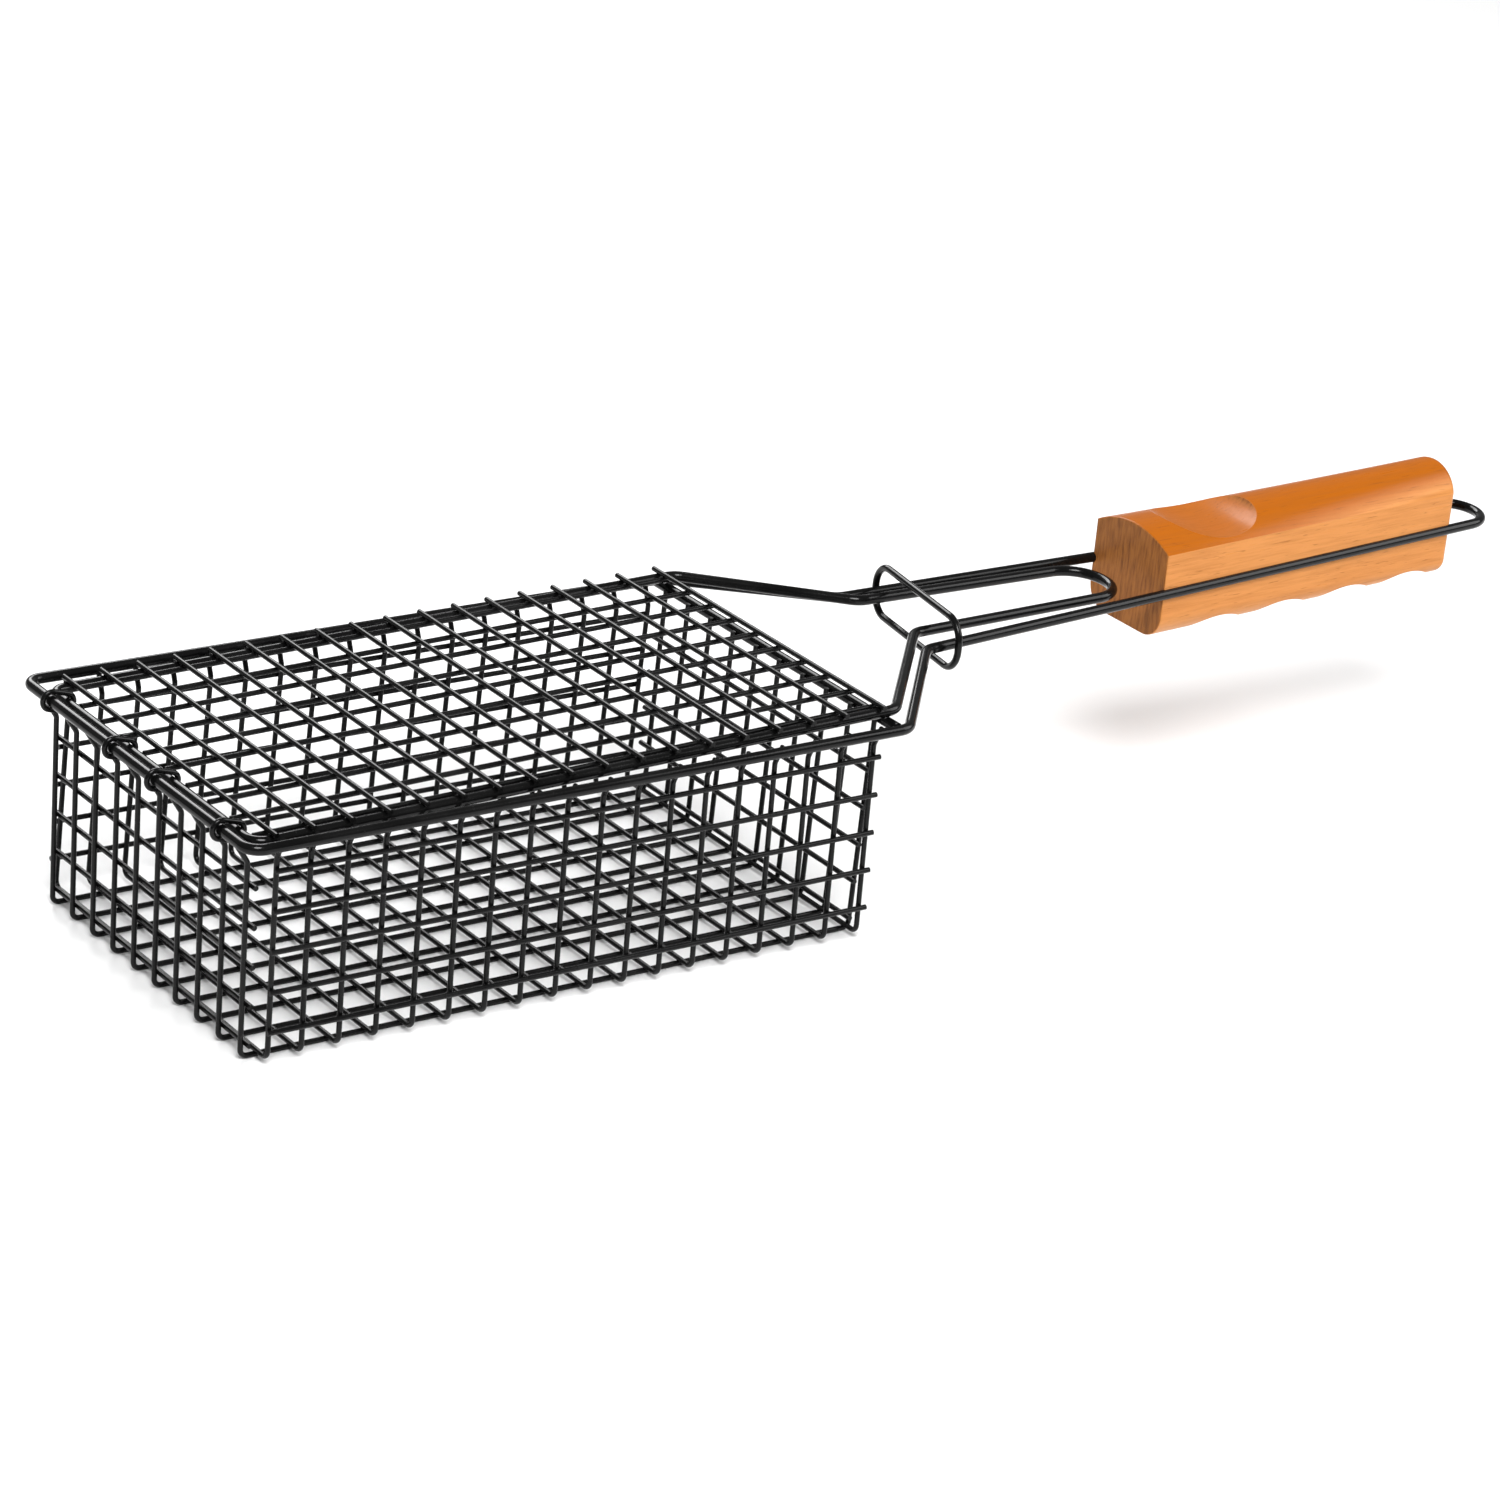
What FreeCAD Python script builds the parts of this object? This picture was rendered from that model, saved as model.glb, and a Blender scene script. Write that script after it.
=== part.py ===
import FreeCAD, Part
import math
import os

V = FreeCAD.Vector

# Grill basket for outdoor cooking: a wire basket with a hinged wire lid, a two-wire handle with a
# wooden grip, and a sliding ring that locks the lid handle to the basket handle.
#
# Frame: millimetres, +Z up, +X from the hinge end of the basket towards the grip, +Y to the left of
# somebody looking along +X. The origin is the centre of the basket floor on the plane it stands on.

# ---- driving dimensions ----------------------------------------------------------------------
pitch = 12.7            # half-inch welded mesh
mesh_d = 1.7            # thin mesh wire
frame_d = 3.5           # frame, crossbar and handle wire
ring_d = 2.4            # lock ring wire
loop_d = 1.7            # hinge loop wire
n_cross = 18            # mesh wires running across the basket
n_long = 10             # mesh wires running along the basket
weld = 0.04             # how far crossing wires sink into each other at a weld
play = 0.3              # gap between pieces that move against each other

rim_z = 72.0            # height of the basket's rim wire
rim_half_y = 67.5       # rim wire to the middle plane
hinge_x = -119.0        # rim wire at the hinge end, also the hinge axis
bar_x = 113.6           # crossbar between the rails at the handle end
corner_x = 116.8        # where the rim rails turn inward to the handle
rim_bend = 5.0          # bend radius of the rim's corners at the hinge end
neck_bend = 7.0         # and of the bends on both sides of the neck
foot_y = 64.3           # side walls at the floor
foot_hinge_x = -111.5   # hinge wall at the floor
flare_z = 66.0          # the side walls flare out to the rim above this height
flare_y = 62.0          # where they stand there
flare_hinge_z = 63.5    # the hinge wall flares from here, under the lid's end wire
flare_hinge_x = -113.4
foot_end_x = 110.3      # handle-end wall at the floor
floor_bend = 2.4        # bend radius of the mesh wires at the floor
first_shift = 1.3       # the cross wire at the hinge end sits this much nearer to the next
side_over = 1.5         # side wall wires end this far past the outermost uprights
wire_over = 2.6         # end wall wires end this far past theirs

handle_x0 = 156.3       # bend where the handle wires begin
handle_y0 = 24.06
handle_z0 = 75.9
handle_x1 = 419.6       # outside of the hanging loop, on the wire's centreline
handle_taper = 0.0515   # how fast the handle wires close up towards the grip
handle_rise = 0.0195    # and how fast they climb

lid_gap = 6.9           # lid rails to basket rails, centre to centre, seen from above
lid_end_gap = 5.1       # lid end wire to basket end wire
lid_drop = 1.4          # the lid's end wire hangs this much under the rim
lid_corner_x = 116.1
lid_handle_x0 = 158.2
lid_handle_y0 = 14.8
lid_handle_y1 = 12.3
lid_handle_z = 78.0
lid_tip_x = 249.8
lid_last_x = 109.8      # cross wire that closes the mesh at the handle end
lid_wire_half = 63.4    # half length of the lid's cross wires

grip_x0 = 260.6
grip_len = 138.6
ring_x = 169.9
ring_mid_y = -1.3       # the ring hangs off its back end, a little askew on the wires
ring_half_y = 28.3
ring_yaw = 9.0
ring_low = 68.3
ring_high = 85.3
ring_bend = 7.6
loop_y = [-4 * pitch, -pitch, pitch, 4 * pitch]

mesh_r = mesh_d / 2
frame_r = frame_d / 2
half_x = (n_cross - 1) / 2 * pitch
half_y = (n_long - 1) / 2 * pitch
long_z = mesh_r                      # long wires are the ones that touch the ground
cross_z = long_z + mesh_d - weld     # cross wires lie on them
step = mesh_d - weld                 # distance between the two layers of a wall
against = frame_r + mesh_r - weld    # mesh wire welded against a frame wire
first_x = -half_x + first_shift
lid_x = hinge_x + lid_end_gap
lid_half_y = rim_half_y - lid_gap
lid_z = rim_z - lid_drop
lid_rise = lid_drop + frame_d + play    # brings the lid's rails over the crossbar
lid_tilt = math.atan(lid_rise / (bar_x - lid_x))


# ---- bent wire -------------------------------------------------------------------------------
def unit(a):
    return a.multiply(1.0 / a.Length)


def rod(a, b, r):
    axis = b.sub(a)
    return Part.makeCylinder(r, axis.Length, a, axis)


def bent_wire(points, radius, d, closed=False):
    """Round wire through the points, bent to the radius at each one that isn't an end."""
    n = len(points)
    r = d / 2
    radii = radius if isinstance(radius, list) else [radius] * n
    stop = {}
    pieces = []
    for i in range(n):
        if not closed and i in (0, n - 1):
            stop[i] = (points[i], points[i])
            continue
        p = points[i]
        before = unit(p.sub(points[(i - 1) % n]))
        after = unit(points[(i + 1) % n].sub(p))
        turn = before.getAngle(after)
        back = radii[i] * math.tan(turn / 2)
        start = p.sub(V(before).multiply(back))
        end = p.add(V(after).multiply(back))
        axis = unit(before.cross(after))
        centre = start.add(axis.cross(before).multiply(radii[i]))
        disc = Part.Face(Part.Wire(Part.makeCircle(r, start, before)))
        pieces.append(disc.revolve(centre, axis, math.degrees(turn)))
        stop[i] = (start, end)
    for i in range(n if closed else n - 1):
        a, b = stop[i][1], stop[(i + 1) % n][0]
        if b.sub(a).Length > 1e-4:
            pieces.append(rod(a, b, r))
    solid = pieces[0].multiFuse(pieces[1:]).removeSplitter()
    return solid.Solids[0] if len(solid.Solids) == 1 else solid


def save(shape, name):
    shape.exportStep("parts/" + name + ".step")


os.makedirs("parts", exist_ok=True)


# ---- basket mesh -----------------------------------------------------------------------------
side_top_y = rim_half_y - against      # three walls end inside the rim wire or the crossbar...
end_top_x = bar_x - against
wall_top_z = rim_z + 0.6
# ...and the hinge wall's wires run straight at the rim wire's middle and end on its underside
hinge_flare = math.hypot(flare_hinge_x - hinge_x, rim_z - flare_hinge_z)
hinge_reach = (frame_r - weld) / hinge_flare
hinge_top_x = hinge_x + hinge_reach * (flare_hinge_x - hinge_x)
hinge_top_z = rim_z - hinge_reach * (rim_z - flare_hinge_z)


def between(z, low, low_z, high, high_z):
    """Where a leaning wall is at height z."""
    return low + (high - low) * (z - low_z) / (high_z - low_z)


def side_y(z):
    return between(z, foot_y, cross_z, flare_y, flare_z)


def hinge_wall_x(z):
    return between(z, foot_hinge_x, long_z, flare_hinge_x, flare_hinge_z)


def end_wall_x(z):
    return between(z, foot_end_x, long_z, end_top_x, wall_top_z)


# U-shaped wires: up one side wall, across the floor, up the other
for i in range(n_cross):
    x = first_x if i == 0 else -half_x + i * pitch
    path = [V(x, -side_top_y, wall_top_z), V(x, -flare_y, flare_z), V(x, -foot_y, cross_z),
            V(x, foot_y, cross_z), V(x, flare_y, flare_z), V(x, side_top_y, wall_top_z)]
    save(bent_wire(path, floor_bend, mesh_d), "cross_wire_%02d" % (i + 1))

# U-shaped wires: up the hinge wall, along the floor, up the handle-end wall
for j in range(n_long):
    y = -half_y + j * pitch
    path = [V(hinge_top_x, y, hinge_top_z), V(flare_hinge_x, y, flare_hinge_z), V(foot_hinge_x, y, long_z),
            V(foot_end_x, y, long_z), V(end_top_x, y, wall_top_z)]
    save(bent_wire(path, floor_bend, mesh_d), "long_wire_%02d" % (j + 1))

# straight wires round the walls, five to a wall
side_levels = [cross_z + (0.707 + k) * pitch for k in range(5)]
end_levels = [cross_z + (0.20 + k) * pitch for k in range(5)]
for sign, name in ((-1, "front_wall_wires"), (1, "back_wall_wires")):
    rods = []
    for z in side_levels:
        y = sign * (side_y(z) + step)
        rods.append(rod(V(first_x - side_over, y, z), V(half_x + side_over, y, z), mesh_r))
    save(Part.makeCompound(rods), name)
for wall_x, inward, name in ((hinge_wall_x, 1, "hinge_wall_wires"), (end_wall_x, -1, "end_wall_wires")):
    rods = []
    for z in end_levels:
        x = wall_x(z) + inward * step
        rods.append(rod(V(x, -half_y - wire_over, z), V(x, half_y + wire_over, z), mesh_r))
    save(Part.makeCompound(rods), name)


# ---- basket frame ----------------------------------------------------------------------------
def handle_y(x):
    return handle_y0 - handle_taper * (x - handle_x0)


def handle_z(x):
    return handle_z0 + handle_rise * (x - handle_x0)


tip_y = handle_y(handle_x1)
half_path = [V(hinge_x, -rim_half_y, rim_z), V(corner_x, -rim_half_y, rim_z),
             V(handle_x0, -handle_y0, handle_z0), V(handle_x1, -tip_y, handle_z(handle_x1))]
mirrored = [V(p.x, -p.y, p.z) for p in reversed(half_path)]
tip_bend = tip_y / math.tan(math.radians(87.0) / 2) * 0.985
frame = bent_wire(half_path + mirrored,
                  [rim_bend, neck_bend, neck_bend, tip_bend, tip_bend, neck_bend, neck_bend, rim_bend],
                  frame_d, closed=True)
save(frame, "basket_frame_wire")

bar_half = rim_half_y - frame_r + weld
save(rod(V(bar_x, -bar_half, rim_z), V(bar_x, bar_half, rim_z), frame_r), "basket_crossbar")


# ---- wooden grip -----------------------------------------------------------------------------
seat = 0.1              # the wires' centrelines lie this far under the side faces
groove_r = frame_r + 0.05
near_half = handle_y(grip_x0) + seat
far_half = handle_y(grip_x0 + grip_len) + seat


def grip_outline(s, half, edge_z, top_z, low_z, round_r):
    """Cross-section: flat sides, arched top with crisp edges, flat underside with round corners."""
    a = round_r * (1 - math.sqrt(0.5))
    pts = [V(s, -half, edge_z), V(s, half, edge_z), V(s, half, low_z + round_r),
           V(s, half - round_r, low_z), V(s, -half + round_r, low_z), V(s, -half, low_z + round_r)]
    edges = [Part.Arc(pts[0], V(s, 0, top_z), pts[1]).toShape(),
             Part.makeLine(pts[1], pts[2]),
             Part.Arc(pts[2], V(s, half - a, low_z + a), pts[3]).toShape(),
             Part.makeLine(pts[3], pts[4]),
             Part.Arc(pts[4], V(s, -half + a, low_z + a), pts[5]).toShape(),
             Part.makeLine(pts[5], pts[0])]
    return Part.Wire(edges)


grip = Part.makeLoft([grip_outline(0, near_half, 14.0, 19.2, -17.2, 9.0),
                      grip_outline(grip_len, far_half, 13.4, 22.8, -16.8, 5.0)], True, True)

# softened ends
far_edges = [e for e in grip.Edges if e.BoundBox.XMin > grip_len - 0.01]
grip = grip.makeFillet(3.4, far_edges)
near_edges = [e for e in grip.Edges if e.BoundBox.XMax < 0.01]
grip = grip.makeFillet(0.6, near_edges)

# four finger hollows in the underside, with flat lands between
finger_r = 24.0
finger_depth = 4.0
underside = -17.0
for t in (0.21, 0.43, 0.65, 0.86):
    c = V(t * grip_len, -30, underside + finger_depth - finger_r)
    grip = grip.cut(Part.makeCylinder(finger_r, 60, c, V(0, 1, 0)))

# thumb rest: an oval hollow in the arched top, deepest towards its far edge
thumb = Part.makeSphere(1.0)
stretch = FreeCAD.Matrix()
stretch.scale(21.5, 40.0, 10.6)
thumb = thumb.transformGeometry(stretch)
thumb.rotate(V(0, 0, 0), V(0, 1, 0), 5.0)
thumb.translate(V(28.5, 0, 25.0))
grip = grip.cut(thumb)

# the whole grip follows the slope of the handle wires
slope = math.degrees(math.atan(handle_rise))
grip.rotate(V(0, 0, 0), V(0, 1, 0), -slope)
grip.translate(V(grip_x0, 0, handle_z(grip_x0)))

# a groove down each side holds the frame wire
for sign in (-1, 1):
    a = V(grip_x0 - 20, sign * handle_y(grip_x0 - 20), handle_z(grip_x0 - 20))
    b = V(grip_x0 + grip_len + 20, sign * handle_y(grip_x0 + grip_len + 20),
          handle_z(grip_x0 + grip_len + 20))
    grip = grip.cut(rod(a, b, groove_r))
save(grip, "grip")


# ---- lid -------------------------------------------------------------------------------------
def on_lid(shape):
    """The lid's mesh is flat, and the whole lid is tilted about its wire at the hinge end."""
    shape.rotate(V(lid_x, 0, lid_z), V(0, 1, 0), -math.degrees(lid_tilt))
    return shape


lid_corner = V(lid_corner_x, -lid_half_y, lid_z + (lid_corner_x - lid_x) * math.tan(lid_tilt))
half_path = [V(lid_x, -lid_half_y, lid_z), lid_corner,
             V(lid_handle_x0, -lid_handle_y0, lid_handle_z), V(lid_tip_x, -lid_handle_y1, lid_handle_z)]
mirrored = [V(p.x, -p.y, p.z) for p in reversed(half_path)]
lid_tip_bend = lid_handle_y1 / math.tan(math.radians(88.4) / 2) * 0.97
save(bent_wire(half_path + mirrored,
               [rim_bend, neck_bend, neck_bend, lid_tip_bend, lid_tip_bend, neck_bend, neck_bend, rim_bend],
               frame_d, closed=True),
     "lid_frame_wire")

lid_cross_z = lid_z + against
lid_long_z = lid_cross_z - step
rods = []
for x in [-half_x + i * pitch for i in range(n_cross - 1)] + [lid_last_x]:
    rods.append(rod(V(x, -lid_wire_half, lid_cross_z), V(x, lid_wire_half, lid_cross_z), mesh_r))
save(on_lid(Part.makeCompound(rods)), "lid_cross_wires")
rods = []
for j in range(n_long):
    y = -half_y + j * pitch
    rods.append(rod(V(lid_x + frame_r - weld, y, lid_long_z), V(lid_last_x + 2.0, y, lid_long_z), mesh_r))
save(on_lid(Part.makeCompound(rods)), "lid_long_wires")

# hinge loops: tight on the lid's end wire, loose enough to turn on the basket's
loop_inner = frame_r + play
loop_r = loop_inner + loop_d / 2
loop_far = hinge_x + math.hypot(lid_end_gap, lid_drop) + frame_r - weld - loop_inner
loop_slope = math.degrees(math.atan(lid_drop / lid_end_gap))
for k, y in enumerate(loop_y):
    path = [V(hinge_x - loop_r, y, rim_z - loop_r), V(loop_far + loop_r, y, rim_z - loop_r),
            V(loop_far + loop_r, y, rim_z + loop_r), V(hinge_x - loop_r, y, rim_z + loop_r)]
    loop = bent_wire(path, loop_r * 0.999, loop_d, closed=True)
    loop.rotate(V(hinge_x, y, rim_z), V(0, 1, 0), loop_slope)
    save(loop, "hinge_loop_%d" % (k + 1))


# ---- lock ring -------------------------------------------------------------------------------
# one wire bent round the four handle wires and closed
path = [V(0, ring_mid_y - ring_half_y, ring_low), V(0, ring_mid_y - ring_half_y, ring_high),
        V(0, ring_mid_y + ring_half_y, ring_high), V(0, ring_mid_y + ring_half_y, ring_low)]
ring = bent_wire(path, ring_bend, ring_d, closed=True)
ring.rotate(V(0, 0, 0), V(0, 0, 1), -ring_yaw)
ring.translate(V(ring_x, 0, 0))
save(ring, "lock_ring")
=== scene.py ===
import math

import bpy
from mathutils import Matrix, Vector


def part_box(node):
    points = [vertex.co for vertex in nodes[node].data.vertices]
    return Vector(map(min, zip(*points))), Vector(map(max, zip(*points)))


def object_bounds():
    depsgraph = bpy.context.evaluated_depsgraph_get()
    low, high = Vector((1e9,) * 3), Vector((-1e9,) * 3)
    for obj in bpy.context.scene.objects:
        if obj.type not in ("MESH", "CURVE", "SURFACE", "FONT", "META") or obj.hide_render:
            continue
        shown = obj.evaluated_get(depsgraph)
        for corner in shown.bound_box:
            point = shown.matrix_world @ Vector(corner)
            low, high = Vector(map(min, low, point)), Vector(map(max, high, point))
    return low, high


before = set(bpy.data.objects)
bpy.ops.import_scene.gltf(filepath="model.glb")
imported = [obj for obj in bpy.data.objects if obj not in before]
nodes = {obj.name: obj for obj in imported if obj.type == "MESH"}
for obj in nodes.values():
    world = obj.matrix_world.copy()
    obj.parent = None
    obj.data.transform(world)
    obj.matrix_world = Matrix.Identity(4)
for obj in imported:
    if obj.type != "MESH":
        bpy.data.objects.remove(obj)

cad_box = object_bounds()

# ---- places taken from the frame -------------------------------------------------------------
GRIP_LOW, GRIP_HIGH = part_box("grip")


# ---- shader building -------------------------------------------------------------------------
class Shader:
    """A material's node tree, built by chaining calls."""

    def __init__(self, name):
        self.material = bpy.data.materials.new(name)
        self.material.use_nodes = True
        self.tree = self.material.node_tree
        self.bsdf = self.tree.nodes["Principled BSDF"]

    def node(self, kind, inputs=None, **settings):
        made = self.tree.nodes.new("ShaderNode" + kind)
        for key, value in settings.items():
            setattr(made, key, value)
        for key, value in (inputs or {}).items():
            self.put(made.inputs[key], value)
        return made

    def put(self, socket, value):
        if isinstance(value, bpy.types.NodeSocket):
            self.tree.links.new(value, socket)
        else:
            socket.default_value = value

    def coordinates(self):
        return self.node("TexCoord").outputs["Object"]

    def moved(self, vector, scale=(1, 1, 1), rotation=(0, 0, 0)):
        return self.node("Mapping", {"Vector": vector, "Scale": scale,
                                     "Rotation": rotation}).outputs["Vector"]

    def noise(self, vector, scale, detail, roughness=0.55):
        return self.node("TexNoise", {"Vector": vector, "Scale": scale, "Detail": detail,
                                      "Roughness": roughness}).outputs["Fac"]

    def ramp(self, value, *stops):
        made = self.node("ValToRGB", {"Fac": value})
        for element, (at, colour) in zip(made.color_ramp.elements, stops):
            element.position = at
            element.color = (*colour, 1)
        return made.outputs["Color"]

    def mix(self, fac, a, b):
        made = self.node("Mix", data_type="RGBA")
        self.put(made.inputs[0], fac)
        for socket, colour in ((made.inputs[6], a), (made.inputs[7], b)):
            self.put(socket, colour if isinstance(colour, bpy.types.NodeSocket) else (*colour, 1))
        return made.outputs[2]

    def finish(self, **values):
        """Sets constants on the shader itself, its sockets named with underscores."""
        for key, value in values.items():
            self.bsdf.inputs[key.replace("_", " ")].default_value = value
        return self.material

    def math(self, operation, a, b=0.0):
        made = self.node("Math", operation=operation)
        self.put(made.inputs[0], a)
        self.put(made.inputs[1], b)
        return made.outputs[0]

    def spread(self, value, low, high, to_low, to_high):
        return self.node("MapRange", {"Value": value, "From Min": low, "From Max": high,
                                      "To Min": to_low, "To Max": to_high}).outputs["Result"]

    def bump(self, height, strength, distance):
        return self.node("Bump", {"Height": height, "Strength": strength,
                                  "Distance": distance}).outputs["Normal"]


# ---- coated wire -----------------------------------------------------------------------------
COAT_BLACK = (0.002, 0.002, 0.002)
SPECK_GREY = (0.030, 0.029, 0.028)


def coated_wire(name, pebbles, light, rough):
    """Black non-stick coating: glossy, faintly pebbled, a little greyer and duller in patches."""
    s = Shader(name)
    at = s.coordinates()
    patches = s.noise(at, 45.0, 3.0)
    pebble = s.noise(at, pebbles, 2.0, 0.6)
    specks = s.noise(at, 700.0, 2.0, 0.7)
    colour = s.ramp(patches, (0.35, COAT_BLACK), (0.7, (light, light, light)))
    colour = s.mix(s.spread(specks, 0.66, 0.80, 0.0, 0.5), colour, SPECK_GREY)
    s.put(s.bsdf.inputs["Base Color"], colour)
    s.put(s.bsdf.inputs["Roughness"], s.spread(patches, 0.3, 0.7, rough - 0.04, rough + 0.08))
    s.put(s.bsdf.inputs["Normal"], s.bump(pebble, 0.18, 0.0001))
    return s.finish(Specular_IOR_Level=0.20)


mesh_black = coated_wire("mesh_wire_coating", pebbles=2600.0, light=0.006, rough=0.22)
frame_black = coated_wire("frame_wire_coating", pebbles=1800.0, light=0.005, rough=0.13)
small_black = coated_wire("small_wire_coating", pebbles=2200.0, light=0.005, rough=0.16)


# ---- varnished wood --------------------------------------------------------------------------
PAINTED_SHADE_AMBER = (0.39, 0.100, 0.003)        # the arched top, painted darker and deeper than the sides: painted shade
HONEY = (0.62, 0.255, 0.070)        # the flat sides
PEACH = (0.56, 0.230, 0.095)        # inside the thumb rest
GRAIN_BROAD = (0.40, 0.120, 0.020)  # wide darker bands along the grip
GRAIN_FIBRE = (0.27, 0.080, 0.012)  # fine fibres
GRAIN_FLECK = (0.17, 0.048, 0.008)  # short dark pores
END_BROWN = (0.34, 0.124, 0.028)    # end grain drinks more stain
END_RAY = (0.13, 0.042, 0.012)      # dark streaks in it

# the thumb rest is an oval hollow: its centre, and the scale that makes it a unit ball
SCOOP_CENTRE = (GRIP_LOW.x + 0.0284, 0.0, GRIP_HIGH.z + 0.0005)
SCOOP_STRETCH = (1 / 0.0217, 1 / 0.0403, 1 / 0.0108)
SCOOP_TILT = math.radians(-4.0)


def varnished_wood():
    """Painted shade: darker amber on the arched top, honey on the sides; peach in the thumb rest,
    brown end grain.
    """
    s = Shader("varnished_wood")
    coordinates = s.node("TexCoord")
    at = coordinates.outputs["Object"]
    facing = s.node("SeparateXYZ", {"Vector": coordinates.outputs["Normal"]})
    # painted shade: faces turned upwards take the darker amber, the sides the paler honey
    top = s.spread(facing.outputs["Z"], 0.45, 0.75, 0.0, 1.0)
    end = s.spread(s.math("ABSOLUTE", facing.outputs["X"]), 0.6, 0.8, 0.0, 1.0)

    fibre = s.noise(s.moved(at, scale=(14, 800, 800)), 1.0, 5.0, 0.65)
    broad = s.noise(s.moved(at, scale=(5, 90, 90)), 1.0, 3.0, 0.5)
    flecks = s.noise(s.moved(at, scale=(110, 1900, 1900)), 1.0, 2.0, 0.5)
    fleck = s.spread(flecks, 0.63, 0.72, 0.0, 1.0)
    rays = s.noise(s.moved(at, scale=(300, 900, 120)), 1.0, 3.0, 0.6)

    scoop = s.node("VectorMath", {0: at, 1: SCOOP_CENTRE}, operation="SUBTRACT").outputs["Vector"]
    scoop = s.moved(scoop, rotation=(0, SCOOP_TILT, 0))
    scoop = s.node("VectorMath", {0: scoop, 1: SCOOP_STRETCH}, operation="MULTIPLY").outputs["Vector"]
    reach = s.node("VectorMath", {0: scoop}, operation="LENGTH").outputs["Value"]
    inside = s.spread(reach, 0.97, 1.01, 1.0, 0.0)

    # painted shade on the upward faces, except inside the thumb rest
    colour = s.mix(top, HONEY, s.mix(inside, PAINTED_SHADE_AMBER, PEACH))
    colour = s.mix(s.spread(broad, 0.35, 0.7, 0.0, 0.28), colour, GRAIN_BROAD)
    colour = s.mix(s.spread(fibre, 0.42, 0.75, 0.0, 0.38), colour, GRAIN_FIBRE)
    colour = s.mix(s.math("MULTIPLY", fleck, 0.45), colour, GRAIN_FLECK)
    end_colour = s.mix(s.spread(rays, 0.40, 0.70, 0.0, 0.75), END_BROWN, END_RAY)
    colour = s.mix(end, colour, end_colour)
    s.put(s.bsdf.inputs["Base Color"], colour)
    s.put(s.bsdf.inputs["Roughness"], s.math("ADD", s.spread(fibre, 0.3, 0.8, 0.26, 0.40),
                                             s.math("MULTIPLY", end, 0.18)))
    s.put(s.bsdf.inputs["Normal"], s.bump(s.math("SUBTRACT", fibre, fleck), 0.10, 0.00015))
    return s.finish(Specular_IOR_Level=0.10, Coat_Weight=0.04, Coat_Roughness=0.18)


wood = varnished_wood()


# ---- finishes on the CAD pieces --------------------------------------------------------------
def paint(node, material):
    piece = nodes[node]
    piece.data.materials.clear()
    piece.data.materials.append(material)


FRAME_WIRES = {"basket_frame_wire", "basket_crossbar", "lid_frame_wire"}
for name in nodes:
    if name == "grip":
        paint(name, wood)
    elif name in FRAME_WIRES:
        paint(name, frame_black)
    elif name == "lock_ring" or name.startswith("hinge_loop"):
        paint(name, small_black)
    else:
        paint(name, mesh_black)


# ---- floor, light and camera -----------------------------------------------------------------
FLOOR_DULL = (0.86, 0.86, 0.86)
FLOOR_PALE = (0.88, 0.88, 0.88)
FLOOR_SIZE = 12.0
SKY_STRENGTH = 0.26


def floor_material():
    s = Shader("pale_floor")
    tone = s.noise(s.coordinates(), 3.0, 2.0)
    s.put(s.bsdf.inputs["Base Color"], s.ramp(tone, (0.3, FLOOR_DULL), (0.7, FLOOR_PALE)))
    return s.finish(Roughness=0.55)


bpy.ops.mesh.primitive_plane_add(size=FLOOR_SIZE)
floor = bpy.context.object
floor.name = "floor"
floor.data.materials.append(floor_material())

world = bpy.data.worlds.new("studio")
bpy.context.scene.world = world
world.use_nodes = True
sky = world.node_tree.nodes["Background"].inputs
sky["Color"].default_value = (1, 1, 1, 1)
sky["Strength"].default_value = SKY_STRENGTH

MIDDLE = (cad_box[0] + cad_box[1]) / 2


def soft_light(name, place, size, power):
    """A round lamp at a place counted from the object's middle, turned towards it."""
    data = bpy.data.lights.new(name, "AREA")
    data.shape = "DISK"
    data.size = size
    data.energy = power
    lamp = bpy.data.objects.new(name, data)
    bpy.context.scene.collection.objects.link(lamp)
    lamp.location = MIDDLE + Vector(place)
    lamp.rotation_mode = "QUATERNION"
    lamp.rotation_quaternion = Vector(place).to_track_quat("Z", "Y")


soft_light("key", (-0.6, -0.9, 1.5), 0.9, 38)
soft_light("fill", (1.3, -0.7, 0.9), 1.2, 16)
soft_light("back", (0.3, 1.6, 1.1), 1.1, 26)

CAMERA_AZIMUTH = math.radians(-38.1)    # round the object, from in front of the long side
CAMERA_HEIGHT = math.radians(22.7)      # above the horizon
CAMERA_ROLL = math.radians(6.3)
CAMERA_PLACE = Vector((-0.790, -1.1456, 0.648))
CAMERA_LENS = 117.7
SENSOR_WIDTH = 36

back = Vector((math.sin(CAMERA_AZIMUTH) * math.cos(CAMERA_HEIGHT),
               -math.cos(CAMERA_AZIMUTH) * math.cos(CAMERA_HEIGHT), math.sin(CAMERA_HEIGHT)))
camera_data = bpy.data.cameras.new("camera")
camera_data.lens = CAMERA_LENS
camera_data.sensor_width = SENSOR_WIDTH
camera_data.clip_start, camera_data.clip_end = 0.05, 50
camera = bpy.data.objects.new("camera", camera_data)
bpy.context.scene.collection.objects.link(camera)
camera.rotation_mode = "QUATERNION"
level = back.to_track_quat("Z", "Y").to_matrix()
camera.rotation_quaternion = (level @ Matrix.Rotation(CAMERA_ROLL, 3, "Z")).to_quaternion()
camera.location = CAMERA_PLACE
bpy.context.scene.camera = camera
bpy.context.scene.view_settings.view_transform = "Standard"
